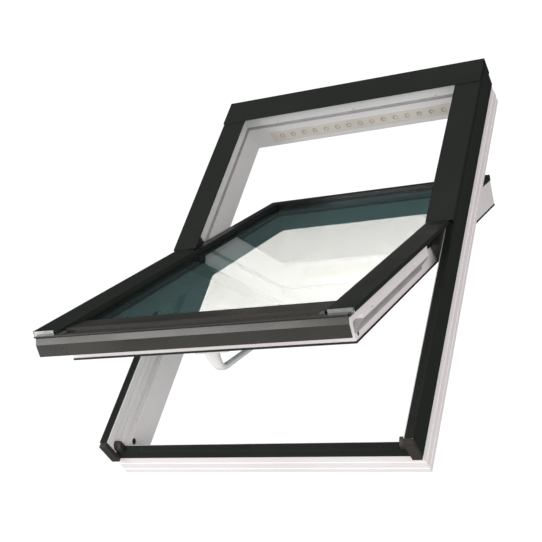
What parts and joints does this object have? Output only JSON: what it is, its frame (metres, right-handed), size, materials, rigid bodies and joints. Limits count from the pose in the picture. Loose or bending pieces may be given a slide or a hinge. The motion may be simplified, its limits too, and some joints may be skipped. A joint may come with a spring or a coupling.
{
  "type": "centre-pivot roof window",
  "caption": "Roof window with a white plastic frame, dark metal claddings and a double-glazed sash that stands open, turning about a line near its middle.",
  "frame": {"origin": "centre of the frame's outer rectangle, on its room-side face", "axes": "+X across the roof to the right as seen from outside, +Y up the slope, +Z out of the roof"},
  "size_m": [0.782, 1.1995, 0.6984],
  "materials": {
    "white_plastic": "white plastic profile, smooth, softly glossy",
    "handle_plastic": "white moulded plastic, softly glossy",
    "umber_cladding": "dark umber-grey painted sheet metal, satin",
    "dark_cap": "dark brown-grey moulded plastic, matt",
    "brown_trim": "dark brown-grey painted sheet metal, satin",
    "black_cladding": "black painted sheet metal, satin",
    "grey_gasket": "grey soft gasket, matt",
    "black_gasket": "black soft gasket, matt",
    "vent_plastic": "grey-beige plastic strip, matt",
    "filter_foam": "pale open fibre filter",
    "hinge_black": "black coated steel, satin",
    "hinge_brass": "yellow passivated steel, lightly worn",
    "zinc_steel": "zinc-plated steel",
    "screw_steel": "zinc-plated screw heads",
    "guide_plastic": "black plastic guide blocks",
    "pale_plate": "pale grey end plates",
    "bright_fitting": "bright metal clips",
    "spacer_metal": "dull metal spacer",
    "outer_glass": "clear coated glass with a faint blue-green tint",
    "inner_glass": "clear glass with a faint blue-green tint"
  },
  "bodies": {
    "frame": {"frame_head": "white_plastic", "frame_sill": "white_plastic", "frame_jamb_left": "white_plastic", "frame_jamb_right": "white_plastic", "frame_steels": "zinc_steel", "jamb_cladding_left": "umber_cladding", "jamb_cladding_right": "umber_cladding", "cladding_end_caps": "dark_cap", "sill_cladding": "umber_cladding", "sill_corner_blocks": "dark_cap", "upper_cover_left": "umber_cladding", "upper_cover_right": "umber_cladding", "head_cover": "umber_cladding", "stop_bead_left": "white_plastic", "stop_bead_right": "white_plastic", "stop_bead_head": "white_plastic", "frame_gasket_left": "grey_gasket", "frame_gasket_right": "grey_gasket", "frame_gasket_head": "grey_gasket", "sill_gasket": "black_gasket", "vent_strip": "vent_plastic", "vent_filter": "filter_foam", "hinge_guide_left": "hinge_black", "hinge_guide_right": "hinge_black", "bolt_keeps": "zinc_steel", "frame_screws": "screw_steel"},
    "sash": {"sash_top_rail": "white_plastic", "sash_bottom_rail": "white_plastic", "sash_stile_left": "white_plastic", "sash_stile_right": "white_plastic", "sash_steels": "zinc_steel", "outer_pane": "outer_glass", "inner_pane": "inner_glass", "spacer_bar": "spacer_metal", "inner_glazing_gasket": "black_gasket", "outer_glazing_gasket": "black_gasket", "upper_cladding_left": "black_cladding", "upper_cladding_right": "black_cladding", "upper_cladding_top": "black_cladding", "lower_cover_left": "umber_cladding", "lower_cover_right": "umber_cladding", "cover_end_plates": "pale_plate", "bottom_cladding": "umber_cladding", "bottom_trim": "brown_trim", "hood_ends": "white_plastic", "corner_fittings": "bright_fitting", "sash_bead_left": "white_plastic", "sash_bead_right": "white_plastic", "sash_gaskets": "grey_gasket", "sash_seal": "black_gasket", "hinge_slider_left": "hinge_brass", "hinge_slider_right": "hinge_brass", "sash_screws": "screw_steel", "handle_base": "handle_plastic", "lock_case": "zinc_steel", "bolt_guides": "guide_plastic"},
    "handle": {"handle_lever": "handle_plastic", "handle_spindle": "zinc_steel"},
    "bolt_left": {"lock_bolt_left": "zinc_steel"},
    "bolt_right": {"lock_bolt_right": "zinc_steel"}
  },
  "joints": [
    {"name": "sash_pivot", "type": "hinge", "parent": "frame", "child": "sash", "pos_m": [0, 0.005, 0.143], "axis": [-1, 0, 0], "range_deg": [-32, 126]},
    {"name": "handle_turn", "type": "hinge", "parent": "sash", "child": "handle", "pos_m": [0, -0.49354, 0.34721], "axis": [0, 0.5299, 0.848], "range_deg": [0, 90]},
    {"name": "bolt_left_slide", "type": "slide", "parent": "sash", "child": "bolt_left", "axis": [-1, 0, 0], "range_m": [0, 0.012]},
    {"name": "bolt_right_slide", "type": "slide", "parent": "sash", "child": "bolt_right", "axis": [1, 0, 0], "range_m": [0, 0.012]}
  ],
  "couplings": [
    {"joint": "bolt_left_slide", "follows": "handle_turn", "m_per_rad": 0.0076394},
    {"joint": "bolt_right_slide", "follows": "handle_turn", "m_per_rad": 0.0076394}
  ]
}
